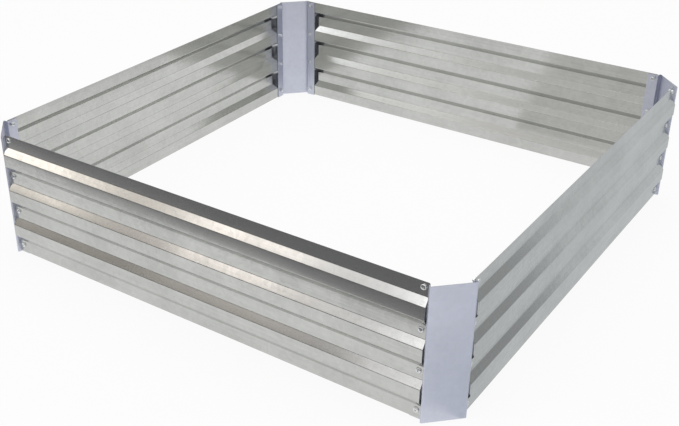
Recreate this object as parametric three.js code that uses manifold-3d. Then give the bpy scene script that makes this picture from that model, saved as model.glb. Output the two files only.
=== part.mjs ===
// Raised garden bed: four ribbed sheet-steel panels, joined at the corners by four bent brackets.
// Each bracket is a plate across the corner whose edges step back inside the panels as flanges.
// One bolt with its nut clamps panel and flange together in every flat of the panel, at both ends.
import * as THREE from 'three';
import { mergeVertices } from 'three/addons/utils/BufferGeometryUtils.js';
import Module from 'manifold-3d';

const wasm = await Module();
wasm.setup();

// Driving dimensions in millimetres. +Z is up, z = 0 is the ground, the origin is the bed's middle.
const length = 1220; // over the ribs, along X
const width = 1220; // over the ribs, along Y
const height = 302; // ground to the panels' top edge

// Panels: flat strips with outward ribs that run along the wall.
const panelSheet = 0.8;
const panelLift = 2; // the bed stands on its brackets, the panels hang clear of the ground
const ribCount = 3;
const ribDepth = 11;
const ribCrest = 28; // flat outer face of a rib
const ribSlope = 16; // height of each sloping side of a rib
const panelBendRadius = 2.2;

// Corner brackets: plate, a step back on each side of it, and two flanges inside the panels.
const bracketSheet = 1.2;
const bracketDrop = 2; // its top edge below the panels' top edge
const cornerCut = 55.5; // from the corner of the wall faces to the plate's edge, along each wall
const plateSetback = 1.5; // the plate's edges behind the outer faces of the ribs
const stepRun = 2; // the step's length along the wall
const flangeWidth = 26;
const plateBendRadius = 2.2;
const flangeBendRadius = 1.2;

// Bolts and nuts, size M6.
const boltRadius = 3;
const headRadius = 6;
const headHeight = 3.8;
const headRim = 1.5; // height of the head's upright side, below its rounded shoulder
const headTopRadius = 3.3; // flat on top of the head
const recessDepth = 1.8; // the cross recess
const recessLength = 5.6;
const recessWidth = 1.1;
const nutSides = 6;
const nutAcrossFlats = 10;
const nutHeight = 5;
const threadBeyondNut = 2.5;
const boltRaise = 3.5; // above the middle of the flat it sits in
const boltInset = 11.5; // from the foot of the bracket's step, along the wall

// Clearances.
const lapGap = 0.3; // between panel and flange
const seatGap = 0.2; // under a head or a nut
const endGap = 0.8; // between a panel's end and the bracket's bend
const holeGap = 0.4; // round a bolt's shank

// How finely round shapes are cut.
const bendSteps = 3;
const shoulderSteps = 2;
const roundSteps = 12;
const weldDistance = 1e-4; // vertices closer than this are one vertex

// Sizes that follow.
const ribHeight = ribCrest + 2 * ribSlope;
const panelHeight = height - panelLift;
const flatHeight = (panelHeight - ribCount * ribHeight) / (ribCount + 1);
const bracketHeight = height - bracketDrop;
const plateProud = ribDepth - plateSetback;
const flangeInset = panelSheet + lapGap + bracketSheet / 2; // wall face to the flange's middle
const panelCornerGap = cornerCut + stepRun + endGap;
const boltCornerGap = cornerCut + stepRun + boltInset;
const flangeInnerFace = flangeInset + bracketSheet / 2;

// Heights of the bolts, one in each flat of the panel.
function boltHeights() {
  const heights = [];
  for (let i = 0; i <= ribCount; i++) {
    const flatBottom = panelLift + i * (flatHeight + ribHeight);
    heights.push(flatBottom + flatHeight / 2 + boltRaise);
  }
  return heights;
}

// A closed outline for a bent sheet: the path is its middle line, with one bend radius per inner point.
function bentSheetShape(path, radii, thickness) {
  const sides = [[], []];
  const normalAt = (direction) => new THREE.Vector2(-direction.y, direction.x);
  const addPoint = (middle, normal) => {
    sides[0].push(middle.clone().addScaledVector(normal, thickness / 2));
    sides[1].push(middle.clone().addScaledVector(normal, -thickness / 2));
  };
  for (let i = 0; i < path.length; i++) {
    const before = path[Math.max(i - 1, 0)];
    const after = path[Math.min(i + 1, path.length - 1)];
    if (i === 0 || i === path.length - 1) {
      addPoint(path[i], normalAt(after.clone().sub(before).normalize()));
      continue;
    }
    const comeIn = path[i].clone().sub(before).normalize();
    const goOut = after.clone().sub(path[i]).normalize();
    const turn = Math.atan2(comeIn.cross(goOut), comeIn.dot(goOut));
    const radius = radii[i - 1];
    const bendStart = path[i].clone().addScaledVector(comeIn, -radius * Math.tan(Math.abs(turn) / 2));
    const centre = bendStart.clone().addScaledVector(normalAt(comeIn), Math.sign(turn) * radius);
    for (let step = 0; step <= bendSteps; step++) {
      const direction = comeIn.clone().rotateAround(new THREE.Vector2(), (turn * step) / bendSteps);
      const normal = normalAt(direction);
      addPoint(centre.clone().addScaledVector(normal, -Math.sign(turn) * radius), normal);
    }
  }
  return new THREE.Shape([...sides[0], ...sides[1].reverse()]);
}

// Closed solids for cutting and joining.
function toSolid(geometry) {
  const bare = geometry.clone();
  bare.deleteAttribute('normal');
  bare.deleteAttribute('uv');
  const merged = mergeVertices(bare, weldDistance);
  const mesh = new wasm.Mesh({
    numProp: 3,
    vertProperties: new Float32Array(merged.attributes.position.array),
    triVerts: new Uint32Array(merged.index.array),
  });
  return new wasm.Manifold(mesh);
}

function toGeometry(solid) {
  const mesh = solid.getMesh();
  const geometry = new THREE.BufferGeometry();
  geometry.setAttribute('position', new THREE.BufferAttribute(mesh.vertProperties, 3));
  geometry.setIndex(new THREE.BufferAttribute(mesh.triVerts, 1));
  return geometry;
}

// A cutter for a bolt hole through sheet, along the X or the Y axis.
function holeCutter(x, y, z, axis) {
  const reach = flangeInnerFace + holeGap; // past both sheets, each way
  const holeRadius = boltRadius + holeGap;
  const cutter = new THREE.CylinderGeometry(holeRadius, holeRadius, 2 * reach, roundSteps);
  if (axis === 'x') cutter.rotateZ(Math.PI / 2);
  cutter.translate(x, y, z);
  return toSolid(cutter);
}

// One ribbed panel. Its wall face, the outside of its flats, is y = -wallFace; halfWall is half the
// distance between the faces of the two walls that it meets.
function panelGeometry(halfWall, wallFace) {
  const path = [];
  const middle = -panelSheet / 2;
  path.push(new THREE.Vector2(middle, panelLift));
  for (let i = 0; i < ribCount; i++) {
    const ribBottom = panelLift + flatHeight + i * (flatHeight + ribHeight);
    path.push(new THREE.Vector2(middle, ribBottom));
    path.push(new THREE.Vector2(middle + ribDepth, ribBottom + ribSlope));
    path.push(new THREE.Vector2(middle + ribDepth, ribBottom + ribSlope + ribCrest));
    path.push(new THREE.Vector2(middle, ribBottom + ribHeight));
  }
  path.push(new THREE.Vector2(middle, panelLift + panelHeight));
  const radii = path.slice(1, -1).map(() => panelBendRadius);
  const panelLength = 2 * (halfWall - panelCornerGap);
  const geometry = new THREE.ExtrudeGeometry(bentSheetShape(path, radii, panelSheet), {
    depth: panelLength,
    bevelEnabled: false,
  });
  // The profile's outward direction becomes -Y, its height Z, and the extrusion runs along -X.
  const outward = new THREE.Vector3(0, -1, 0);
  const up = new THREE.Vector3(0, 0, 1);
  const along = new THREE.Vector3(-1, 0, 0);
  geometry.applyMatrix4(new THREE.Matrix4().makeBasis(outward, up, along));
  geometry.translate(panelLength / 2, -wallFace, 0);
  let solid = toSolid(geometry);
  for (const side of [-1, 1]) {
    for (const z of boltHeights()) {
      solid = solid.subtract(holeCutter(side * (halfWall - boltCornerGap), -wallFace, z, 'y'));
    }
  }
  return toGeometry(solid);
}

// One corner bracket at the corner x = halfWall, y = -wallFace. Its section is the same on both
// walls, mirrored about the corner's diagonal.
function bracketGeometry(halfWall, wallFace) {
  const half = [
    new THREE.Vector2(-(cornerCut + stepRun + flangeWidth), flangeInset),
    new THREE.Vector2(-(cornerCut + stepRun), flangeInset),
    new THREE.Vector2(-cornerCut, -plateProud),
  ];
  const mirrored = half.map((point) => new THREE.Vector2(-point.y, -point.x)).reverse();
  const radii = [flangeBendRadius, plateBendRadius, plateBendRadius, flangeBendRadius];
  const shape = bentSheetShape([...half, ...mirrored], radii, bracketSheet);
  const geometry = new THREE.ExtrudeGeometry(shape, { depth: bracketHeight, bevelEnabled: false });
  geometry.translate(halfWall, -wallFace, 0);
  let solid = toSolid(geometry);
  for (const z of boltHeights()) {
    const frontHole = holeCutter(halfWall - boltCornerGap, flangeInset - wallFace, z, 'y');
    const sideHole = holeCutter(halfWall - flangeInset, boltCornerGap - wallFace, z, 'x');
    solid = solid.subtract(frontHole).subtract(sideHole);
  }
  return toGeometry(solid);
}

// One bolt with its nut run up against the flange. The bolt lies along Y, head towards -Y; y = 0 is
// the wall face that its head is drawn against.
function boltGeometry() {
  const shankEnd = flangeInnerFace + seatGap + nutHeight + threadBeyondNut;
  const profile = [
    new THREE.Vector2(0, -shankEnd),
    new THREE.Vector2(boltRadius, -shankEnd),
    new THREE.Vector2(boltRadius, seatGap),
    new THREE.Vector2(headRadius, seatGap),
  ];
  for (let step = 0; step <= shoulderSteps; step++) {
    const angle = (step / shoulderSteps) * (Math.PI / 2);
    const radius = headTopRadius + (headRadius - headTopRadius) * Math.cos(angle);
    const rise = headRim + (headHeight - headRim) * Math.sin(angle);
    profile.push(new THREE.Vector2(radius, seatGap + rise));
  }
  profile.push(new THREE.Vector2(0, seatGap + headHeight));
  const bolt = new THREE.LatheGeometry(profile, roundSteps);
  const nutCorner = nutAcrossFlats / 2 / Math.cos(Math.PI / nutSides);
  const nut = new THREE.CylinderGeometry(nutCorner, nutCorner, nutHeight, nutSides);
  nut.translate(0, -(flangeInnerFace + seatGap + nutHeight / 2), 0);
  let solid = toSolid(bolt).add(toSolid(nut));
  for (const turn of [Math.PI / 4, -Math.PI / 4]) {
    const slot = new THREE.BoxGeometry(recessLength, 2 * recessDepth, recessWidth);
    slot.rotateY(turn);
    slot.translate(0, seatGap + headHeight, 0);
    solid = solid.subtract(toSolid(slot));
  }
  const geometry = toGeometry(solid);
  geometry.rotateX(Math.PI);
  return geometry;
}

function galvanisedSheet() {
  return new THREE.MeshStandardMaterial({ color: 0xb9bbb9, roughness: 0.38, metalness: 0.9 });
}

function galvanisedPlate() {
  return new THREE.MeshStandardMaterial({ color: 0xb0b3c2, roughness: 0.55, metalness: 0.8 });
}

function brightZinc() {
  return new THREE.MeshStandardMaterial({ color: 0xd4d6d8, roughness: 0.22, metalness: 1 });
}

function namedMesh(name, geometry, material) {
  const mesh = new THREE.Mesh(geometry, material);
  mesh.name = name;
  return mesh;
}

// The walls in turn, anticlockwise seen from above, each named with the two walls that it meets.
// The bracket of a wall is the one at the end where the next wall begins.
const walls = [
  { name: 'front', last: 'left', next: 'right', bracket: 'front_right', along: length, across: width },
  { name: 'right', last: 'front', next: 'back', bracket: 'back_right', along: width, across: length },
  { name: 'back', last: 'right', next: 'left', bracket: 'back_left', along: length, across: width },
  { name: 'left', last: 'back', next: 'front', bracket: 'front_left', along: width, across: length },
];

const bed = new THREE.Group();
walls.forEach((wall, index) => {
  const halfWall = wall.along / 2 - ribDepth;
  const wallFace = wall.across / 2 - ribDepth;
  const group = new THREE.Group();
  group.rotation.z = (index * Math.PI) / 2;
  group.add(namedMesh(`panel_${wall.name}`, panelGeometry(halfWall, wallFace), galvanisedSheet()));
  const bracket = bracketGeometry(halfWall, wallFace);
  group.add(namedMesh(`corner_bracket_${wall.bracket}`, bracket, galvanisedPlate()));
  for (const [side, neighbour] of [[-1, wall.last], [1, wall.next]]) {
    boltHeights().forEach((z, row) => {
      const name = `bolt_${wall.name}_${neighbour}_${row + 1}`;
      const bolt = namedMesh(name, boltGeometry(), brightZinc());
      bolt.position.set(side * (halfWall - boltCornerGap), -wallFace, z);
      group.add(bolt);
    });
  }
  bed.add(group);
});

export default bed;
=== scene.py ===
import math
import random

import bmesh
import bpy
from mathutils import Matrix, Vector, noise


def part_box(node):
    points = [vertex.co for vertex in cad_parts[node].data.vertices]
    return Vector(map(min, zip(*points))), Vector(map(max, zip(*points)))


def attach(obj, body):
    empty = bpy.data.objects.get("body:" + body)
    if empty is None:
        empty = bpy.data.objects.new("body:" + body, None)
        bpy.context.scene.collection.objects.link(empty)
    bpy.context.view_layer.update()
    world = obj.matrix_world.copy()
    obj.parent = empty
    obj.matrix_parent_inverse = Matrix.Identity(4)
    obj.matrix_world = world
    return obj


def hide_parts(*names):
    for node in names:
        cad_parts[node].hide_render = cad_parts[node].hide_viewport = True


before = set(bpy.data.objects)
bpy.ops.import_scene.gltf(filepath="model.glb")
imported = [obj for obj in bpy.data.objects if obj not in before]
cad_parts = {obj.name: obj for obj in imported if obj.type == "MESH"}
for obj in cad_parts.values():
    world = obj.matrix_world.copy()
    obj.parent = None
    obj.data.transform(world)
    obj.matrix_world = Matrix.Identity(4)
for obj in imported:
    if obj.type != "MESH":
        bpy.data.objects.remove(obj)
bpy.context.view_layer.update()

# A raised garden bed of galvanised steel: four ribbed panels, four bent corner brackets, and a
# bolt with its nut in every flat of a panel, at both ends. Everything is in metres.
MM = 0.001

# Ribbed panels.
PANEL_SHEET = 0.8 * MM
RIB_COUNT = 3
RIB_DEPTH = 11 * MM
RIB_CREST = 28 * MM
RIB_SLOPE = 16 * MM
PANEL_BEND_RADIUS = 2.2 * MM
PANEL_STATIONS = 72  # steps along a panel
FLAT_CUTS = 3  # cuts across each flat strip
BEND_SEGMENTS = 5

# The slight waviness that thin rolled sheet has between its fixings.
WAVE_DEPTH = 0.45 * MM
WAVE_LENGTH = 260 * MM
WAVE_HEIGHT = 75 * MM
WAVE_FREE_END = 60 * MM  # the bolted end stays true for this length
WAVE_SEED_STEP = 3.7  # gives each panel a wave of its own

# Corner brackets.
BRACKET_SHEET = 1.2 * MM
LAP_GAP = 0.3 * MM  # between a panel and the flange inside it
CORNER_CUT = 55.5 * MM  # along a wall, from where the wall faces would meet to the plate's edge
PLATE_SETBACK = 1.5 * MM  # from the rib crests back to the plate's edge
STEP_RUN = 2 * MM  # along a wall, from the plate's edge to the flange
FLANGE_WIDTH = 26 * MM
PLATE_BEND_RADIUS = 2.2 * MM
FLANGE_BEND_RADIUS = 1.2 * MM
BRACKET_BEND_SEGMENTS = 8

# Bolts and nuts, size M6.
BOLT_RADIUS = 3 * MM
HOLE_RADIUS = 3.4 * MM
THREAD_PITCH = 1 * MM
THREAD_DEPTH = 0.55 * MM
THREAD_STEPS = 24  # round one turn
HEAD_RADIUS = 6 * MM
HEAD_RIM = 1.5 * MM
HEAD_TOP_RADIUS = 3.3 * MM
HEAD_DOME = 0.6 * MM
SHOULDER_STEPS = 6
RECESS_DEPTH = 2.2 * MM
RECESS_LENGTH = 6.4 * MM
RECESS_WIDTH = 1.5 * MM
RECESS_TAPER = 0.4  # length of the recess at its floor, as a share of that at its mouth
NUT_SIDES = 6
NUT_ACROSS_FLATS = 10 * MM
NUT_HEIGHT = 5 * MM
NUT_CHAMFER = 0.45 * MM
NUT_BORE_GAP = 0.05 * MM
SEAT_GAP = 0.2 * MM  # under the solids' bolt heads and nuts
TOUCH = 0.02 * MM  # between parts that are drawn up tight
SPIN_SEED = 6  # for how far each bolt and nut is turned

# Meshing.
EDGE_ROUND = 0.2 * MM  # sheared edges, deburred
EDGE_SEGMENTS = 2
EDGE_DEGREES = 60  # corners sharper than this are deburred
CREASE_DEGREES = 32  # corners sharper than this are shaded as creases
PARALLEL = 0.999  # cosine above which an edge counts as lengthways
BEND_DIGITS = 7  # decimals of a metre that tell one size of bend from another
ROUND_STEPS = 48
WELD = TOUCH / 10
THREAD_WELD = TOUCH / 2
OUTWARD = Matrix.Rotation(math.pi / 2, 4, "X")  # takes Z out of the front wall

# What the frame says about places.
panel_low, panel_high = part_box("panel_front")
bracket_low, bracket_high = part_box("corner_bracket_front_right")
bolt_low, bolt_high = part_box("bolt_front_right_1")
WALL_FACE = -panel_low.y - RIB_DEPTH
RIB_HEIGHT = RIB_CREST + 2 * RIB_SLOPE
FLAT_HEIGHT = (panel_high.z - panel_low.z - RIB_COUNT * RIB_HEIGHT) / (RIB_COUNT + 1)
HEAD_TOP = -bolt_low.y - WALL_FACE
SHANK_END = bolt_high.y + WALL_FACE
FLANGE_INNER = PANEL_SHEET + LAP_GAP + BRACKET_SHEET

# Each wall with the two walls that it meets, anticlockwise from the front, seen from above, and
# the corner that it shares with the second of them.
WALLS = [
    ("front", "left", "right", "front_right"),
    ("right", "front", "back", "back_right"),
    ("back", "right", "left", "back_left"),
    ("left", "back", "front", "front_left"),
]
BOLT_ROWS = (1, 2, 3, 4)


def wall_turn(wall):
    """The turn that takes a piece made on the front wall to the named one."""
    index = [names[0] for names in WALLS].index(wall)
    return Matrix.Rotation(index * math.pi / 2, 4, "Z")


def bolt_place(wall, neighbour, row):
    """Where a bolt's axis meets the wall face, along and up, with its wall turned to the front."""
    low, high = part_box(f"bolt_{wall}_{neighbour}_{row}")
    middle = wall_turn(wall).inverted() @ ((low + high) / 2)
    return middle.x, middle.z


# ---- Making meshes -------------------------------------------------------------------------


def new_piece(name, bm, materials=()):
    """An object at the origin that takes over the bmesh."""
    mesh = bpy.data.meshes.new(name)
    bm.to_mesh(mesh)
    bm.free()
    for material in materials:
        mesh.materials.append(material)
    piece = bpy.data.objects.new(name, mesh)
    bpy.context.scene.collection.objects.link(piece)
    return piece


def apply_modifiers(piece):
    """Makes the piece's mesh what its modifiers make of it."""
    graph = bpy.context.evaluated_depsgraph_get()
    made = bpy.data.meshes.new_from_object(piece.evaluated_get(graph))
    piece.modifiers.clear()
    piece.data = made


def combine(piece, tool, operation):
    """Joins, cuts or intersects the piece with the tool, which is used up."""
    boolean = piece.modifiers.new("combine", "BOOLEAN")
    boolean.object = tool
    boolean.operation = operation
    boolean.solver = "EXACT"
    apply_modifiers(piece)
    bpy.data.objects.remove(tool)


def soften(piece):
    """Smooth shading with sharp creases; wide faces keep their direction beside narrow bends."""
    piece.data.shade_smooth()
    piece.data.set_sharp_from_angle(angle=math.radians(CREASE_DEGREES))
    weighted = piece.modifiers.new("normals", "WEIGHTED_NORMAL")
    weighted.keep_sharp = True
    apply_modifiers(piece)


def finished_mesh(piece):
    """Softens the piece and keeps only its mesh."""
    soften(piece)
    mesh = piece.data
    bpy.data.objects.remove(piece)
    return mesh


def drawn_line(bm, places):
    """Points and the edges that join them up, in order."""
    points = [bm.verts.new(place) for place in places]
    edges = [bm.edges.new(pair) for pair in zip(points, points[1:])]
    return points, edges


def bent_strip(corners, radii, run, segments):
    """The middle surface of a bent sheet: its section drawn out along run, bends rounded."""
    bm = bmesh.new()
    points, edges = drawn_line(bm, corners)
    drawn = bmesh.ops.extrude_edge_only(bm, edges=edges)
    far_side = [item for item in drawn["geom"] if isinstance(item, bmesh.types.BMVert)]
    bmesh.ops.translate(bm, verts=far_side, vec=run)
    bends = {}
    for point, radius in zip(points[1:-1], radii):
        bend = next(edge for edge in point.link_edges if len(edge.link_faces) == 2)
        tangent = radius * math.tan(bend.calc_face_angle() / 2)
        bends.setdefault(round(tangent, BEND_DIGITS), []).append(bend)
    for tangent, group in bends.items():
        bmesh.ops.bevel(
            bm,
            geom=group,
            offset=tangent,
            offset_type="OFFSET",
            segments=segments,
            profile=0.5,
            affect="EDGES",
            material=-1,
        )
    return bm


def is_along(edge, direction):
    """Whether the edge runs along the direction, which has a length of 1."""
    span = edge.verts[1].co - edge.verts[0].co
    return abs(span.normalized().dot(direction)) > PARALLEL


def grid_strip(bm, direction):
    """Cuts a panel's strip into stations along its length, and its wide faces across."""
    lengthways = [edge for edge in bm.edges if is_along(edge, direction)]
    bmesh.ops.subdivide_edges(bm, edges=lengthways, cuts=PANEL_STATIONS - 1, use_grid_fill=True)
    across = [e for e in bm.edges if not is_along(e, direction) and e.calc_length() > RIB_SLOPE]
    bmesh.ops.subdivide_edges(bm, edges=across, cuts=FLAT_CUTS, use_grid_fill=True)


def thicken(piece, sheet):
    """Gives a middle surface its sheet thickness, with rounded rims in the second material."""
    shell = piece.modifiers.new("sheet", "SOLIDIFY")
    shell.thickness = sheet
    shell.offset = 0
    shell.use_even_offset = True
    shell.material_offset_rim = 1
    rims = piece.modifiers.new("rims", "BEVEL")
    rims.width = EDGE_ROUND
    rims.segments = EDGE_SEGMENTS
    rims.limit_method = "ANGLE"
    rims.angle_limit = math.radians(EDGE_DEGREES)
    apply_modifiers(piece)


def turned_body(bm, profile):
    """A closed body turned about Z, from a profile that ends on the axis or where it starts."""
    points, edges = drawn_line(bm, [(radius, 0, height) for radius, height in profile])
    bmesh.ops.spin(
        bm,
        geom=points + edges,
        cent=(0, 0, 0),
        axis=(0, 0, 1),
        angle=2 * math.pi,
        steps=ROUND_STEPS,
        use_merge=True,
    )
    bmesh.ops.remove_doubles(bm, verts=bm.verts, dist=WELD)
    bmesh.ops.recalc_face_normals(bm, faces=bm.faces)


def add_prism(bm, sides, radius, length, place):
    """A closed prism along Z, about the origin, moved to its place."""
    bmesh.ops.create_cone(
        bm,
        cap_ends=True,
        segments=sides,
        radius1=radius,
        radius2=radius,
        depth=length,
        matrix=place,
    )


def hole_cutters(places, wall_offset, reach):
    """Cylinders across the front wall at the given places, in one object."""
    bm = bmesh.new()
    for along, height in places:
        place = Matrix.Translation((along, -wall_offset, height)) @ OUTWARD
        add_prism(bm, ROUND_STEPS, HOLE_RADIUS, 2 * reach, place)
    return new_piece("hole_cutters", bm)


# ---- Panels --------------------------------------------------------------------------------


def panel_section():
    """Corner points of the panel's middle line, from the bottom up, at its left end."""
    flat_line = -WALL_FACE + PANEL_SHEET / 2
    crest_line = flat_line - RIB_DEPTH
    end = panel_low.x
    points = [(end, flat_line, panel_low.z)]
    height = panel_low.z + FLAT_HEIGHT
    for _ in range(RIB_COUNT):
        points.append((end, flat_line, height))
        points.append((end, crest_line, height + RIB_SLOPE))
        points.append((end, crest_line, height + RIB_SLOPE + RIB_CREST))
        points.append((end, flat_line, height + 2 * RIB_SLOPE + RIB_CREST))
        height += 2 * RIB_SLOPE + RIB_CREST + FLAT_HEIGHT
    points.append((end, flat_line, panel_high.z))
    return points


def wave_inwards(bm, seed):
    """Dents the free middle of a panel inwards by a slow, shallow wave."""
    for vert in bm.verts:
        to_end = min(vert.co.x - panel_low.x, panel_high.x - vert.co.x) - WAVE_FREE_END
        fade = min(max(to_end / WAVE_LENGTH, 0), 1)
        fade = fade * fade * (3 - 2 * fade)  # sets in and levels off gently
        here = Vector((vert.co.x / WAVE_LENGTH, seed, vert.co.z / WAVE_HEIGHT))
        depth = 0.5 + 0.5 * noise.noise(here)
        vert.co.y += WAVE_DEPTH * depth * fade


def make_panel(wall, last, following, seed, materials):
    """A ribbed panel with the holes of its eight bolts."""
    corners = panel_section()
    radii = [PANEL_BEND_RADIUS] * (len(corners) - 2)
    run = Vector((panel_high.x - panel_low.x, 0, 0))
    bm = bent_strip(corners, radii, run, BEND_SEGMENTS)
    grid_strip(bm, run.normalized())
    wave_inwards(bm, seed)
    piece = new_piece(f"ribbed_panel_{wall}", bm, materials)
    thicken(piece, PANEL_SHEET)
    places = [bolt_place(wall, side, row) for side in (last, following) for row in BOLT_ROWS]
    combine(piece, hole_cutters(places, WALL_FACE, 4 * PANEL_SHEET), "DIFFERENCE")
    soften(piece)
    piece.data.transform(wall_turn(wall))
    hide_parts(f"panel_{wall}")
    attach(piece, "root")


# ---- Corner brackets -----------------------------------------------------------------------


def bracket_section():
    """Corner points of the bracket's middle line at the front right corner, front to right."""
    flange_line = PANEL_SHEET + LAP_GAP + BRACKET_SHEET / 2
    proud = RIB_DEPTH - PLATE_SETBACK
    near = [
        (-(CORNER_CUT + STEP_RUN + FLANGE_WIDTH), flange_line),
        (-(CORNER_CUT + STEP_RUN), flange_line),
        (-CORNER_CUT, -proud),
    ]
    mirrored = [(-inward, -along) for along, inward in reversed(near)]
    return [(WALL_FACE + x, -WALL_FACE + y, bracket_low.z) for x, y in near + mirrored]


def make_bracket(wall, following, corner, materials):
    """A corner bracket with the holes of its eight bolts, made at the front right corner."""
    corners = bracket_section()
    radii = [FLANGE_BEND_RADIUS, PLATE_BEND_RADIUS, PLATE_BEND_RADIUS, FLANGE_BEND_RADIUS]
    run = Vector((0, 0, bracket_high.z - bracket_low.z))
    bm = bent_strip(corners, radii, run, BRACKET_BEND_SEGMENTS)
    piece = new_piece(f"corner_plate_{corner}", bm, materials)
    thicken(piece, BRACKET_SHEET)
    front_places = [bolt_place(wall, following, row) for row in BOLT_ROWS]
    side_places = [bolt_place(following, wall, row) for row in BOLT_ROWS]
    flange_offset = WALL_FACE - FLANGE_INNER + BRACKET_SHEET / 2
    combine(piece, hole_cutters(front_places, flange_offset, 2 * BRACKET_SHEET), "DIFFERENCE")
    side_cutters = hole_cutters(side_places, flange_offset, 2 * BRACKET_SHEET)
    side_cutters.data.transform(Matrix.Rotation(math.pi / 2, 4, "Z"))
    combine(piece, side_cutters, "DIFFERENCE")
    soften(piece)
    piece.data.transform(wall_turn(wall))
    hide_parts(f"corner_bracket_{corner}")
    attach(piece, "root")


# ---- Bolts and nuts ------------------------------------------------------------------------


def bolt_head():
    """A pan head with a straight rim, a rounded shoulder and a slightly domed top."""
    shoulder_top = HEAD_TOP - HEAD_DOME
    profile = [(0, TOUCH), (HEAD_RADIUS, TOUCH)]
    for step in range(SHOULDER_STEPS + 1):
        angle = step / SHOULDER_STEPS * math.pi / 2
        radius = HEAD_TOP_RADIUS + (HEAD_RADIUS - HEAD_TOP_RADIUS) * math.cos(angle)
        profile.append((radius, HEAD_RIM + (shoulder_top - HEAD_RIM) * math.sin(angle)))
    profile.append((0, HEAD_TOP))
    bm = bmesh.new()
    turned_body(bm, profile)
    return new_piece("bolt_head", bm)


def threaded_shank():
    """A helical thread from inside the head to the bolt's end, closed at both ends."""
    turns = round((SHANK_END + HEAD_RIM / 2) / THREAD_PITCH) - 1
    root = BOLT_RADIUS - THREAD_DEPTH
    section = [(root, 0), (BOLT_RADIUS, THREAD_PITCH / 2), (root, THREAD_PITCH)]
    bm = bmesh.new()
    points, edges = drawn_line(bm, [(radius, 0, rise - SHANK_END) for radius, rise in section])
    bmesh.ops.spin(
        bm,
        geom=points + edges,
        cent=(0, 0, 0),
        axis=(0, 0, 1),
        dvec=(0, 0, THREAD_PITCH / THREAD_STEPS),
        angle=turns * 2 * math.pi,
        steps=turns * THREAD_STEPS,
    )
    bmesh.ops.remove_doubles(bm, verts=bm.verts, dist=THREAD_WELD)
    open_edges = [edge for edge in bm.edges if edge.is_boundary]
    bmesh.ops.holes_fill(bm, edges=open_edges, sides=0)
    bmesh.ops.recalc_face_normals(bm, faces=bm.faces)
    return new_piece("threaded_shank", bm)


def recess_arm(turn):
    """One arm of the cross recess, shorter towards its floor."""
    bm = bmesh.new()
    bmesh.ops.create_cube(bm, size=1)
    floor = [vert for vert in bm.verts if vert.co.z < 0]
    bmesh.ops.scale(bm, verts=floor, vec=(RECESS_TAPER, 1, 1))
    bmesh.ops.scale(bm, verts=bm.verts, vec=(RECESS_LENGTH, RECESS_WIDTH, 2 * RECESS_DEPTH))
    bmesh.ops.translate(bm, verts=bm.verts, vec=(0, 0, HEAD_TOP))
    bmesh.ops.rotate(bm, verts=bm.verts, cent=(0, 0, 0), matrix=Matrix.Rotation(turn, 3, "Z"))
    return new_piece("recess_arm", bm)


def bolt_mesh():
    """An M6 pan head bolt, its axis along Z, head up, z = 0 under the head."""
    bolt = bolt_head()
    combine(bolt, threaded_shank(), "UNION")
    for turn in (0, math.pi / 2):
        combine(bolt, recess_arm(turn), "DIFFERENCE")
    return finished_mesh(bolt)


def nut_mesh():
    """An M6 nut with chamfered corners, its axis along Z, seated on the inside of a flange."""
    corner = NUT_ACROSS_FLATS / 2 / math.cos(math.pi / NUT_SIDES)
    bottom = -(FLANGE_INNER + SEAT_GAP + NUT_HEIGHT)
    top = -(FLANGE_INNER + TOUCH)
    bore = BOLT_RADIUS + NUT_BORE_GAP
    ring = [
        (bore, bottom),
        (NUT_ACROSS_FLATS / 2, bottom),
        (corner, bottom + NUT_CHAMFER),
        (corner, top - NUT_CHAMFER),
        (NUT_ACROSS_FLATS / 2, top),
        (bore, top),
        (bore, bottom),
    ]
    blank = bmesh.new()
    turned_body(blank, ring)
    nut = new_piece("nut", blank)
    hexagon = bmesh.new()
    middle = Matrix.Translation((0, 0, (top + bottom) / 2))
    add_prism(hexagon, NUT_SIDES, corner, 2 * NUT_HEIGHT, middle)
    combine(nut, new_piece("hexagon", hexagon), "INTERSECT")
    return finished_mesh(nut)


def place_fastener(name, template, wall, neighbour, row, turn, material):
    """A copy of a bolt or nut in its hole, turned about its axis."""
    along, height = bolt_place(wall, neighbour, row)
    to_hole = Matrix.Translation((along, -WALL_FACE, height))
    mesh = template.copy()
    mesh.transform(wall_turn(wall) @ to_hole @ OUTWARD @ Matrix.Rotation(turn, 4, "Z"))
    mesh.materials.clear()
    mesh.materials.append(material)
    piece = bpy.data.objects.new(name, mesh)
    bpy.context.scene.collection.objects.link(piece)
    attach(piece, "root")
    return piece


# ---- Materials -----------------------------------------------------------------------------


def linear(colour):
    """A hex colour as written for a screen, in linear light."""
    channels = [int(colour[i : i + 2], 16) / 255 for i in (1, 3, 5)]
    return [c / 12.92 if c <= 0.04045 else ((c + 0.055) / 1.055) ** 2.4 for c in channels] + [1.0]


def add_node(tree, kind, settings=None, values=None, links=None):
    """Adds a node with its settings, the values of its sockets and the outputs linked to them."""
    node = tree.nodes.new(kind)
    for name, value in (settings or {}).items():
        setattr(node, name, value)
    for name, value in (values or {}).items():
        node.inputs[name].default_value = value
    for name, output in (links or {}).items():
        tree.links.new(output, node.inputs[name])
    return node


def new_material(name):
    """A material, and its node tree with a Principled shader."""
    material = bpy.data.materials.new(name)
    material.use_nodes = True
    return material, material.node_tree


COLOUR_A, COLOUR_B, COLOUR_OUT = 6, 7, 2  # sockets of a Mix node that mixes colours

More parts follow.
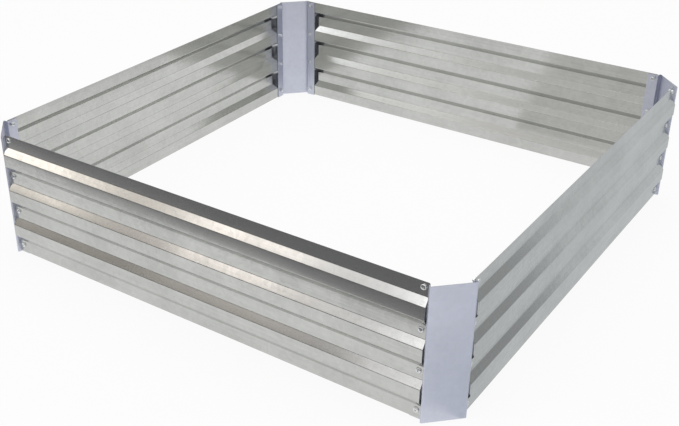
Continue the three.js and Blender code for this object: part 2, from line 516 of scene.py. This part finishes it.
SPANGLE_SIZE = 9 * MM  # zinc crystals of hot-dip galvanising
SPANGLE_WEIGHT = 0.18  # how much the crystals show, where the slow tarnish has 1
STREAK_WIDTH = 5 * MM  # rolling lines, drawn coarser than real so that they show
STREAK_LENGTH = 600 * MM
CLOUD_SIZE = 140 * MM  # slow tarnish
PALEST, DULLEST = 0.345, 0.845  # tones that are all one colour, less the mean of the lines
PIT_DEPTH = 0.02 * MM
PIT_STRENGTH = 0.25

MARK_SIZE = 1.5 * MM  # handling marks on bolts and nuts
MARK_SMOOTHER, MARK_ROUGHER = 0.06, 0.1  # how far the marks take the roughness either way


def bare_metal(tree, share, pale, dull, smoothest, roughest):
    """Makes the shader a metal that goes from pale and smooth to dull and rough with share."""
    colour = add_node(
        tree,
        "ShaderNodeMix",
        settings={"data_type": "RGBA"},
        values={COLOUR_A: linear(pale), COLOUR_B: linear(dull)},
        links={"Factor": share},
    )
    sheen = add_node(
        tree,
        "ShaderNodeMapRange",
        values={"To Min": smoothest, "To Max": roughest},
        links={"Value": share},
    )
    shader = tree.nodes["Principled BSDF"]
    shader.inputs["Metallic"].default_value = 1.0
    tree.links.new(colour.outputs[COLOUR_OUT], shader.inputs["Base Color"])
    tree.links.new(sheen.outputs["Result"], shader.inputs["Roughness"])


def galvanised_steel(name, pale, dull, roughness, spread, along, lines):
    """Hot-dip galvanised sheet steel, rolled: satin zinc with faint crystals, lines along the
    rolling direction and slow tarnish. along is the rolling direction, 'X', 'Y' or 'Z', and
    lines is how much the rolling lines show."""
    material, tree = new_material(name)
    place = add_node(tree, "ShaderNodeTexCoord").outputs["Object"]
    stretch = [1 / STREAK_LENGTH if axis == along else 1 / STREAK_WIDTH for axis in "XYZ"]
    drawn = add_node(tree, "ShaderNodeMapping", values={"Scale": stretch}, links={"Vector": place})
    streaks = add_node(
        tree,
        "ShaderNodeTexNoise",
        values={"Scale": 1, "Detail": 5, "Roughness": 0.65},
        links={"Vector": drawn.outputs["Vector"]},
    )
    clouds = add_node(
        tree,
        "ShaderNodeTexNoise",
        values={"Scale": 1 / CLOUD_SIZE, "Detail": 4, "Roughness": 0.55},
        links={"Vector": place},
    )
    tarnish = add_node(
        tree,
        "ShaderNodeMath",
        settings={"operation": "MULTIPLY_ADD"},
        values={1: lines},
        links={0: streaks.outputs["Fac"], 2: clouds.outputs["Fac"]},
    )
    crystals = add_node(
        tree,
        "ShaderNodeTexVoronoi",
        values={"Scale": 1 / SPANGLE_SIZE},
        links={"Vector": place},
    )
    crystal_tone = add_node(
        tree, "ShaderNodeSeparateColor", links={"Color": crystals.outputs["Color"]}
    )
    tone = add_node(
        tree,
        "ShaderNodeMath",
        settings={"operation": "MULTIPLY_ADD"},
        values={1: SPANGLE_WEIGHT},
        links={0: crystal_tone.outputs["Red"], 2: tarnish.outputs["Value"]},
    )
    share = add_node(
        tree,
        "ShaderNodeMapRange",
        values={"From Min": lines / 2 + PALEST, "From Max": lines / 2 + DULLEST},
        links={"Value": tone.outputs["Value"]},
    ).outputs["Result"]
    relief = add_node(
        tree,
        "ShaderNodeBump",
        values={"Strength": PIT_STRENGTH, "Distance": PIT_DEPTH},
        links={"Height": tone.outputs["Value"]},
    )
    bare_metal(tree, share, pale, dull, roughness - spread, roughness + spread)
    tree.links.new(relief.outputs["Normal"], tree.nodes["Principled BSDF"].inputs["Normal"])
    return material


def plated_zinc(name, pale, dull, roughness):
    """Bright electroplated zinc on small turned steel: smooth, cool, with faint handling marks."""
    material, tree = new_material(name)
    place = add_node(tree, "ShaderNodeTexCoord").outputs["Object"]
    marks = add_node(
        tree,
        "ShaderNodeTexNoise",
        values={"Scale": 1 / MARK_SIZE, "Detail": 3},
        links={"Vector": place},
    ).outputs["Fac"]
    bare_metal(tree, marks, pale, dull, roughness - MARK_SMOOTHER, roughness + MARK_ROUGHER)
    return material


# ---- Studio --------------------------------------------------------------------------------

FLOOR_SIZE = 60.0
FLOOR_GLOW = 0.9  # share of the floor's white that doesn't depend on the light
WORLD_LEVEL = 0.65  # how much the white surroundings light the bed

# The room that the metal mirrors.
ROOM = 3.2  # from the middle of the bed to the room's walls
CARD_HEIGHT = 1 * MM  # of the cards that lie on the floor
BACK_ROW = ROOM + 0.05  # of the front walls behind the soft boxes
RIGHT_WALL = ROOM + 0.2
RIGHT_WALL_END = ROOM + 0.1
LOW_WALL = 1.2
RIGHT_WALL_GREY = "#a6a8ab"
INTO_ROOM, DOWN = (0, 1, 0), (0, 0, -1)

# The photograph's camera, fitted to the bed's edges and corners.
PHOTO_WIDTH = 679
FOCAL_PIXELS = 1050.3
MIDDLE_PIXEL = 300.0  # where the photograph's line of sight lies, counted from the left
SENSOR = 36.0
CAMERA_PLACE = (1.2367, -1.9783, 1.2782)
CAMERA_TURN = (1.0695, 0.0026, 0.6109)


def show_instead(tree, shader_output):
    """Shows another shader in place of the Principled one."""
    tree.nodes.remove(tree.nodes["Principled BSDF"])
    tree.links.new(shader_output, tree.nodes["Material Output"].inputs["Surface"])


def white_floor():
    """A white paper floor that keeps a little of the bed's shadow."""
    material, tree = new_material("white_paper_floor")
    paper = add_node(tree, "ShaderNodeBsdfDiffuse", values={"Color": linear("#fbfbfb")})
    glow = add_node(tree, "ShaderNodeEmission", values={"Color": linear("#ffffff"), "Strength": 1})
    both = add_node(
        tree,
        "ShaderNodeMixShader",
        values={0: FLOOR_GLOW},
        links={1: paper.outputs["BSDF"], 2: glow.outputs["Emission"]},
    )
    show_instead(tree, both.outputs["Shader"])
    bm = bmesh.new()
    bmesh.ops.create_grid(bm, x_segments=1, y_segments=1, size=FLOOR_SIZE / 2)
    floor = new_piece("floor", bm, [material])


def flat_tone(name, colour):
    """One even tone, whatever light falls on it."""
    material, tree = new_material(name)
    glow = add_node(tree, "ShaderNodeEmission", values={"Color": linear(colour), "Strength": 1})
    show_instead(tree, glow.outputs["Emission"])
    return material


def card(name, corners, colour):
    """A flat card that the camera doesn't see and that shows only mirrored in the metal."""
    bm = bmesh.new()
    bm.faces.new([bm.verts.new(corner) for corner in corners])
    piece = new_piece(name, bm, [flat_tone(name, colour)])
    piece.visible_camera = False
    piece.visible_diffuse = False
    piece.visible_shadow = False
    piece.visible_transmission = False


def floor_card(name, outline, colour):
    """A card that lies on the floor."""
    card(name, [(x, y, CARD_HEIGHT) for x, y in outline], colour)


def room_wall(name, start, end, foot, top, colour):
    """An upright card over the floor line from start to end."""
    corners = [(*start, foot), (*end, foot), (*end, top), (*start, top)]
    card(name, corners, colour)


def softbox(name, place, facing, size, strength, colour):
    """A rectangular lamp, its second side upright where it faces sideways. strength is how bright
    the lamp itself shows in the metal, where white is 1."""
    lamp = bpy.data.lights.new(name, "AREA")
    lamp.shape = "RECTANGLE"
    lamp.size, lamp.size_y = size
    lamp.energy = strength * math.pi * size[0] * size[1]
    lamp.color = linear(colour)[:3]
    light = bpy.data.objects.new(name, lamp)
    light.location = place
    light.rotation_euler = Vector(facing).to_track_quat("-Z", "Y").to_euler()
    bpy.context.scene.collection.objects.link(light)


def white_world():
    """White to the camera and in the metal, dimmer as a light."""
    world = bpy.data.worlds.new("white_studio")
    world.use_nodes = True
    bpy.context.scene.world = world
    tree = world.node_tree
    path = add_node(tree, "ShaderNodeLightPath")
    seen = add_node(
        tree,
        "ShaderNodeMath",
        settings={"operation": "MAXIMUM"},
        links={0: path.outputs["Is Camera Ray"], 1: path.outputs["Is Glossy Ray"]},
    )
    level = add_node(
        tree,
        "ShaderNodeMapRange",
        values={"To Min": WORLD_LEVEL, "To Max": 1},
        links={"Value": seen.outputs["Value"]},
    )
    background = tree.nodes["Background"]
    background.inputs["Color"].default_value = linear("#ffffff")
    tree.links.new(level.outputs["Result"], background.inputs["Strength"])


def photo_camera():
    """The photograph's view: from the front right, above."""
    data = bpy.data.cameras.new("camera")
    data.sensor_width = SENSOR
    data.lens = FOCAL_PIXELS / PHOTO_WIDTH * SENSOR
    data.shift_x = 0.5 - MIDDLE_PIXEL / PHOTO_WIDTH
    camera = bpy.data.objects.new("camera", data)
    camera.location = CAMERA_PLACE
    camera.rotation_euler = CAMERA_TURN
    bpy.context.scene.collection.objects.link(camera)
    bpy.context.scene.camera = camera


photo_camera()
white_world()
white_floor()

# A dark floor in front, pale ones to the right, and a pale one inside the bed, which the back
# wall's right end mirrors.
floor_card("dark_floor", [(-ROOM, -ROOM), (0.64, -ROOM), (0.64, -0.865), (-ROOM, -1.08)], "#78787a")
floor_card("pale_floor", [(0.6, -0.72), (ROOM, -0.72), (ROOM, ROOM), (0.6, ROOM)], "#d8dbde")
floor_card("inner_floor", [(-0.1, -0.4), (0.56, -0.4), (0.56, 0.5), (0.12, 0.5)], "#dbdbd9")

# A low dark wall in front with grey and pale ones above it, a low grey one to the right that goes
# round the far corner, and a low pale one behind.
room_wall("dark_front_wall", (-4.8, -ROOM), (ROOM, -ROOM), 0, 0.9, "#38383a")
room_wall("grey_front_wall", (-4.8, -BACK_ROW), (-0.4, -BACK_ROW), 0.9, 3.0, "#a09b97")
room_wall("upper_front_wall", (-2.3, -BACK_ROW), (2.0, -BACK_ROW), 3.0, 6.5, "#dddcda")
right_end = (RIGHT_WALL, RIGHT_WALL_END)
room_wall("right_wall", (RIGHT_WALL, -ROOM), right_end, 0, LOW_WALL, RIGHT_WALL_GREY)
room_wall("right_corner_wall", right_end, (2.3, RIGHT_WALL_END), 0, LOW_WALL, RIGHT_WALL_GREY)
back_wall = [(-ROOM, ROOM, 0), (3.25, ROOM, 0), (2.85, ROOM, LOW_WALL), (-ROOM, ROOM, LOW_WALL)]
card("back_wall", back_wall, "#dfe3e6")

# Soft boxes in front, which the front wall's rib slopes pick up from left to right, and one
# overhead. softbox_end stands just before softbox_right, for the right ends of the ribs.
softbox("softbox_left", (-3.78, -ROOM, 2.45), INTO_ROOM, (1.7, 1.54), 1.9, "#fff6ee")
softbox("softbox_high", (-4.25, -ROOM, 4.2), INTO_ROOM, (0.9, 1.8), 1.6, "#f6f9ff")
softbox("softbox_gap", (-2.62, -ROOM, 2.4), INTO_ROOM, (0.6, 1.4), 0.5, "#fff6ee")
softbox("softbox_middle", (-1.87, -ROOM, 2.4), INTO_ROOM, (0.9, 1.6), 1.6, "#fff7f3")
softbox("softbox_right", (-0.87, -ROOM, 2.35), INTO_ROOM, (1.1, 1.56), 0.8, "#fafaff")
softbox("softbox_low", (-0.6, -ROOM, 1.37), INTO_ROOM, (0.7, 0.4), 0.95, "#fafaff")
softbox("softbox_end", (-0.6, 0.04 - ROOM, 1.88), INTO_ROOM, (0.36, 0.5), 1.25, "#fbfbff")
softbox("softbox_top", (0.3, 0.2, 3.4), DOWN, (2.6, 2.6), 1.2, "#ffffff")

# ---- The bed -------------------------------------------------------------------------------

# Panels are satin and mirror the room. Brackets are more matt and bluish. Sheared edges are bare
# steel, made like the plating but greyer and rougher. Nuts are a little duller than bolts.
panel_steel = {
    along: galvanised_steel(
        f"galvanised_steel_panel_{along.lower()}", "#c7c8c5", "#b7b8b5", 0.17, 0.035, along, 0.6
    )
    for along in "XY"
}
bracket_steel = galvanised_steel(
    "galvanised_steel_bracket", "#ced1de", "#c5c8d5", 0.46, 0.03, "Z", 0.15
)
cut_edge = plated_zinc("sheared_steel_edge", "#a9abad", "#8f9193", 0.34)
bolt_zinc = plated_zinc("zinc_plated_bolt", "#e6e7e8", "#cdcfd0", 0.15)
nut_zinc = plated_zinc("zinc_plated_nut", "#e4e6e8", "#cbced1", 0.24)

bolt_template = bolt_mesh()
nut_template = nut_mesh()
spin = random.Random(SPIN_SEED)
for index, (wall, last, following, corner) in enumerate(WALLS):
    lengthways = "X" if wall in ("front", "back") else "Y"
    panel_materials = (panel_steel[lengthways], cut_edge)
    make_panel(wall, last, following, WAVE_SEED_STEP * index, panel_materials)
    make_bracket(wall, following, corner, (bracket_steel, cut_edge))
    for neighbour in (last, following):
        for row in BOLT_ROWS:
            where = f"{wall}_{neighbour}_{row}"
            turn = spin.uniform(0, math.pi)
            bolt = place_fastener(
                f"pan_head_bolt_{where}", bolt_template, wall, neighbour, row, turn, bolt_zinc
            )
            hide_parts(f"bolt_{where}")
            turn = spin.uniform(0, math.pi)
            place_fastener(f"hex_nut_{where}", nut_template, wall, neighbour, row, turn, nut_zinc)

bpy.context.scene.view_settings.view_transform = "Standard"
